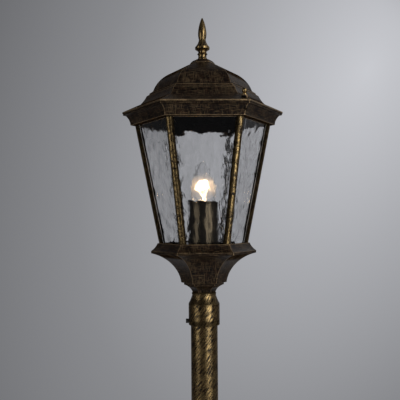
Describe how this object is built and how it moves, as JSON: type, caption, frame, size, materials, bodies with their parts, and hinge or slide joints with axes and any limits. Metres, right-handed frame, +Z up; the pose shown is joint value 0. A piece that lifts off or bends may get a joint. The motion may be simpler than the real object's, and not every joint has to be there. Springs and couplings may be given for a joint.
{
  "type": "garden post lamp",
  "caption": "Hexagonal cast lantern with hammered clear panes, a domed roof with finial and a candle lamp, on a round post with a bolted base, for lighting a garden path.",
  "frame": {"origin": "centre of the base flange's underside, on the ground", "axes": "+Z up along the post, -Y out of the lantern's front pane, corners of the lantern along +X and -X"},
  "size_m": [0.2412, 0.2088, 1],
  "materials": {
    "casting": "cast aluminium, black-brown paint dry-brushed with gold",
    "post_paint": "steel tube, black-brown paint brushed with gold",
    "pane_glass": "clear hammered glass with soft waves",
    "lamp_glass": "clear thin lamp glass",
    "dark_screw": "steel screw, black-brown paint brushed with gold",
    "sleeve_bronze": "dark bronze lacquer, satin",
    "zinc_steel": "zinc plated steel",
    "brass": "bright brass",
    "ceramic": "white insulating ceramic, matt",
    "insulator": "black vitreous insulator",
    "filament": "thin tungsten wire"
  },
  "bodies": {
    "lamp": {"base_flange": "casting", "post_fitter": "casting", "bowl": "casting", "gallery_ring": "casting", "cornice_ring": "casting", "corner_bar_1": "casting", "corner_bar_2": "casting", "corner_bar_3": "casting", "corner_bar_4": "casting", "corner_bar_5": "casting", "corner_bar_6": "casting", "post": "post_paint", "glass_pane_1": "pane_glass", "glass_pane_2": "pane_glass", "glass_pane_3": "pane_glass", "glass_pane_4": "pane_glass", "glass_pane_5": "pane_glass", "glass_pane_6": "pane_glass", "clamp_screw": "dark_screw", "base_grub_screw": "dark_screw", "holder_sleeve": "sleeve_bronze", "nipple": "zinc_steel", "nipple_nuts": "zinc_steel", "nipple_washers": "zinc_steel", "floor_plate": "zinc_steel", "bar_screws_foot": "zinc_steel", "bar_screws_top": "zinc_steel", "terminal_screw": "zinc_steel", "earth_screw": "zinc_steel", "earth_nut": "zinc_steel", "holder_shell": "brass", "holder_contact": "brass", "holder_body": "ceramic", "terminal_block": "ceramic"},
    "roof": {"roof": "casting", "finial": "casting", "finial_stud": "zinc_steel", "finial_washer": "zinc_steel", "finial_nut": "zinc_steel"},
    "knob_front": {"roof_knob_front": "dark_screw"},
    "knob_back": {"roof_knob_back": "dark_screw"},
    "bulb": {"lamp_tip": "brass", "lamp_insulator": "insulator", "lamp_cap": "brass", "lamp_glass": "lamp_glass", "lamp_stem": "lamp_glass", "lamp_filament": "filament"}
  },
  "joints": [
    {"name": "roof_lift", "type": "slide", "parent": "lamp", "child": "roof", "axis": [0, 0, 1], "range_m": [0, 0.12]},
    {"name": "knob_front_turn", "type": "hinge", "parent": "roof", "child": "knob_front", "pos_m": [0.05378, -0.09314, 0.871], "axis": [0, 0, 1], "continuous": true},
    {"name": "knob_back_turn", "type": "hinge", "parent": "roof", "child": "knob_back", "pos_m": [-0.05378, 0.09314, 0.871], "axis": [0, 0, 1], "continuous": true},
    {"name": "bulb_turn", "type": "hinge", "parent": "lamp", "child": "bulb", "pos_m": [0, 0, 0.7], "axis": [0, 0, 1], "range_deg": [0, 900]}
  ]
}
